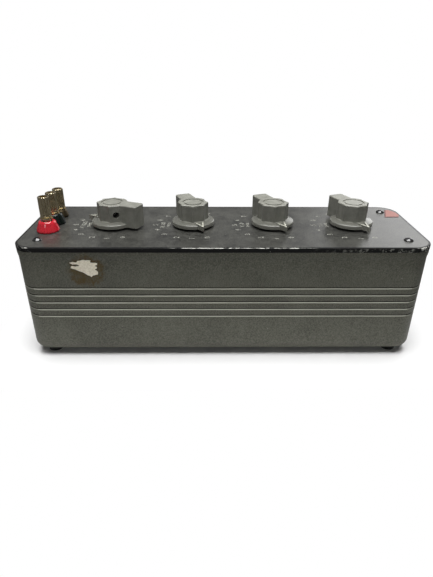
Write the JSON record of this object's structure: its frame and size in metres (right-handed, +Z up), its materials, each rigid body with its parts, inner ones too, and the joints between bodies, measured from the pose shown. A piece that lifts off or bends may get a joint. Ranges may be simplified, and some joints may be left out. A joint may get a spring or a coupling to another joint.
{
  "type": "decade resistance box",
  "caption": "Long grooved metal box with a black top panel, a row of fluted bar knobs that turn rotary switches inside, and binding posts at one end.",
  "frame": {"origin": "on the floor under the middle of the box", "axes": "+X along the box away from the binding posts, +Y to the back, +Z up"},
  "size_m": [0.33, 0.105, 0.1304],
  "materials": {
    "case_paint": "satin dark grey enamel",
    "panel_paint": "semi-gloss black enamel",
    "black_screw": "blackened steel",
    "rubber": "matte",
    "steel": "machined",
    "brass": "machined",
    "laminate": "paper laminate",
    "ceramic": "glazed",
    "copper": "bare copper",
    "knob_plastic": "moulded, worn satin",
    "red_plastic": "gloss",
    "black_plastic": "gloss",
    "nickel": "tarnished nickel"
  },
  "bodies": {
    "box": {"case": "case_paint", "panel": "panel_paint", "panel_screws": "black_screw", "rubber_feet": "rubber", "foot_screws": "steel", "shaft_bushings": "brass", "bushing_nuts": "steel", "index_plates": "steel", "stop_pins": "steel", "detent_springs": "brass", "deck_pillars": "brass", "deck_screws": "steel", "collector_rings": "brass", "switch_deck_1": "laminate", "switch_deck_2": "laminate", "switch_deck_3": "laminate", "switch_deck_4": "laminate", "contacts_1": "brass", "contacts_2": "brass", "contacts_3": "brass", "contacts_4": "brass", "resistor_spools_1": "ceramic", "resistor_spools_2": "ceramic", "resistor_spools_3": "ceramic", "resistor_spools_4": "ceramic", "resistor_windings": "copper", "link_straps": "copper", "post_base_red": "red_plastic", "post_base_black": "black_plastic", "post_base_ground": "nickel", "post_studs": "nickel", "post_insulators": "black_plastic", "post_nuts": "brass"},
    "dial_1": {"knob_1": "knob_plastic", "set_screw_1": "black_screw", "shaft_1": "steel", "detent_wheel_1": "brass", "wiper_1": "brass"},
    "dial_2": {"knob_2": "knob_plastic", "set_screw_2": "black_screw", "shaft_2": "steel", "detent_wheel_2": "brass", "wiper_2": "brass"},
    "dial_3": {"knob_3": "knob_plastic", "set_screw_3": "black_screw", "shaft_3": "steel", "detent_wheel_3": "brass", "wiper_3": "brass"},
    "dial_4": {"knob_4": "knob_plastic", "set_screw_4": "black_screw", "shaft_4": "steel", "detent_wheel_4": "brass", "wiper_4": "brass"},
    "clamp_red": {"post_washer_red": "nickel"},
    "cap_red": {"post_cap_red": "nickel"},
    "clamp_black": {"post_washer_black": "nickel"},
    "cap_black": {"post_cap_black": "nickel"},
    "clamp_ground": {"post_washer_ground": "nickel"},
    "cap_ground": {"post_cap_ground": "nickel"}
  },
  "joints": [
    {"name": "dial_1_turn", "type": "hinge", "parent": "box", "child": "dial_1", "pos_m": [-0.0939, 0, 0.1012], "axis": [0, 0, 1], "range_deg": [-90, 135]},
    {"name": "dial_2_turn", "type": "hinge", "parent": "box", "child": "dial_2", "pos_m": [-0.02563, 0, 0.1012], "axis": [0, 0, 1], "range_deg": [-225, 0]},
    {"name": "dial_3_turn", "type": "hinge", "parent": "box", "child": "dial_3", "pos_m": [0.04263, 0, 0.1012], "axis": [0, 0, 1], "range_deg": [-225, 0]},
    {"name": "dial_4_turn", "type": "hinge", "parent": "box", "child": "dial_4", "pos_m": [0.1109, 0, 0.1012], "axis": [0, 0, 1], "range_deg": [-225, 0]},
    {"name": "clamp_red_lift", "type": "slide", "parent": "box", "child": "clamp_red", "axis": [0, 0, 1], "range_m": [-0.00198, 0.00198]},
    {"name": "cap_red_turn", "type": "hinge", "parent": "clamp_red", "child": "cap_red", "pos_m": [-0.146, -0.01445, 0.1212], "axis": [0, 0, 1], "range_deg": [-900, 900]},
    {"name": "clamp_black_lift", "type": "slide", "parent": "box", "child": "clamp_black", "axis": [0, 0, 1], "range_m": [0, 0.00397]},
    {"name": "cap_black_turn", "type": "hinge", "parent": "clamp_black", "child": "cap_black", "pos_m": [-0.146, 0.0046, 0.1212], "axis": [0, 0, 1], "range_deg": [0, 1800]},
    {"name": "clamp_ground_lift", "type": "slide", "parent": "box", "child": "clamp_ground", "axis": [0, 0, 1], "range_m": [0, 0.00397]},
    {"name": "cap_ground_turn", "type": "hinge", "parent": "clamp_ground", "child": "cap_ground", "pos_m": [-0.146, 0.02365, 0.1212], "axis": [0, 0, 1], "range_deg": [0, 1800]}
  ],
  "couplings": [
    {"joint": "cap_red_turn", "follows": "clamp_red_lift", "rad_per_m": 7913.3},
    {"joint": "cap_black_turn", "follows": "clamp_black_lift", "rad_per_m": 7913.3},
    {"joint": "cap_ground_turn", "follows": "clamp_ground_lift", "rad_per_m": 7913.3}
  ]
}
